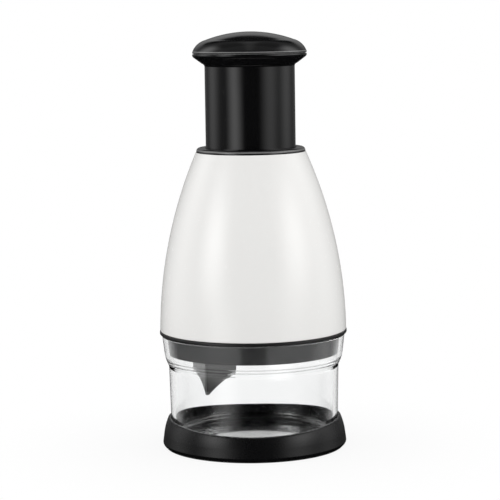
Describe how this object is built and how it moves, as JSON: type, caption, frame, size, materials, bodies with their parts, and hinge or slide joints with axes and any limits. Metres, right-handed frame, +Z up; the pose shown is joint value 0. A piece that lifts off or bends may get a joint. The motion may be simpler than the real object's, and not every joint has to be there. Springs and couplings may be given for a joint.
{
  "type": "plunger food chopper",
  "caption": "Hand-pressed food chopper: a knob on a sprung plunger drives a turning zigzag steel blade down inside a clear cup that stands in a black base.",
  "frame": {"origin": "centre of the foot ring on the surface the chopper stands on", "axes": "+Z up along the plunger axis; -Y is the front, where the view of the blade corner is at the left"},
  "size_m": [0.1004, 0.1004, 0.2222],
  "materials": {
    "white_shell": "glossy moulded plastic, off-white",
    "black_gloss": "glossy moulded plastic, black",
    "guard_plastic": "glossy moulded plastic, charcoal",
    "base_plastic": "satin moulded plastic, black",
    "black_rubber": "rubber, black",
    "clear_plastic": "clear moulded plastic",
    "blade_steel": "ground stainless steel",
    "spring_steel": "drawn spring wire",
    "zinc_steel": "plated steel",
    "grey_nylon": "filled nylon, dark grey",
    "natural_acetal": "acetal, natural white"
  },
  "bodies": {
    "base": {"base_shell": "base_plastic", "foot_ring": "black_rubber"},
    "cup": {"chopping_cup": "clear_plastic"},
    "head": {"housing_shell": "white_shell", "collar_ring": "black_gloss", "guide_bush": "natural_acetal", "stop_bumper": "black_rubber", "drive_plate": "grey_nylon", "plate_screws": "zinc_steel", "ratchet_ring": "natural_acetal", "drive_nut": "natural_acetal", "nut_spring": "spring_steel", "nut_cap": "grey_nylon", "cap_screws": "zinc_steel", "spring_seat": "zinc_steel"},
    "guard": {"blade_guard": "guard_plastic", "cup_gasket": "black_rubber", "guard_seal": "black_rubber"},
    "plunger": {"knob_cap": "black_gloss", "plunger_sleeve": "black_gloss", "bearing_plate": "grey_nylon", "bearing_screws": "zinc_steel", "return_spring": "spring_steel"},
    "blade": {"drive_spindle": "natural_acetal", "thrust_washer": "zinc_steel", "head_washer": "zinc_steel", "retaining_clip": "spring_steel", "hub_pin": "zinc_steel", "blade_carrier": "grey_nylon", "zigzag_blade": "blade_steel"},
    "wiper": {"wiper_plate": "grey_nylon"}
  },
  "joints": [
    {"name": "cup_lift", "type": "slide", "parent": "base", "child": "cup", "axis": [0, 0, 1], "range_m": [0, 0.02]},
    {"name": "head_lift", "type": "slide", "parent": "cup", "child": "head", "axis": [0, 0, 1], "range_m": [0, 0.06]},
    {"name": "guard_twist", "type": "hinge", "parent": "head", "child": "guard", "pos_m": [0, 0, 0.0625], "axis": [0, 0, 1], "range_deg": [0, 24]},
    {"name": "plunger_press", "type": "slide", "parent": "head", "child": "plunger", "axis": [0, 0, -1], "range_m": [0, 0.0268], "stiffness_N_per_m": 320, "springref_m": -0.03, "deforming": ["return_spring"]},
    {"name": "blade_turn", "type": "hinge", "parent": "plunger", "child": "blade", "pos_m": [0, 0, 0.09], "axis": [0, 0, -1], "range_deg": [0, 45.1]},
    {"name": "wiper_hold", "type": "slide", "parent": "blade", "child": "wiper", "axis": [0, 0, 1], "range_m": [0, 0.02681]}
  ],
  "couplings": [
    {"joint": "blade_turn", "follows": "plunger_press", "rad_per_m": 29.306},
    {"joint": "wiper_hold", "follows": "plunger_press", "ratio": 1}
  ]
}
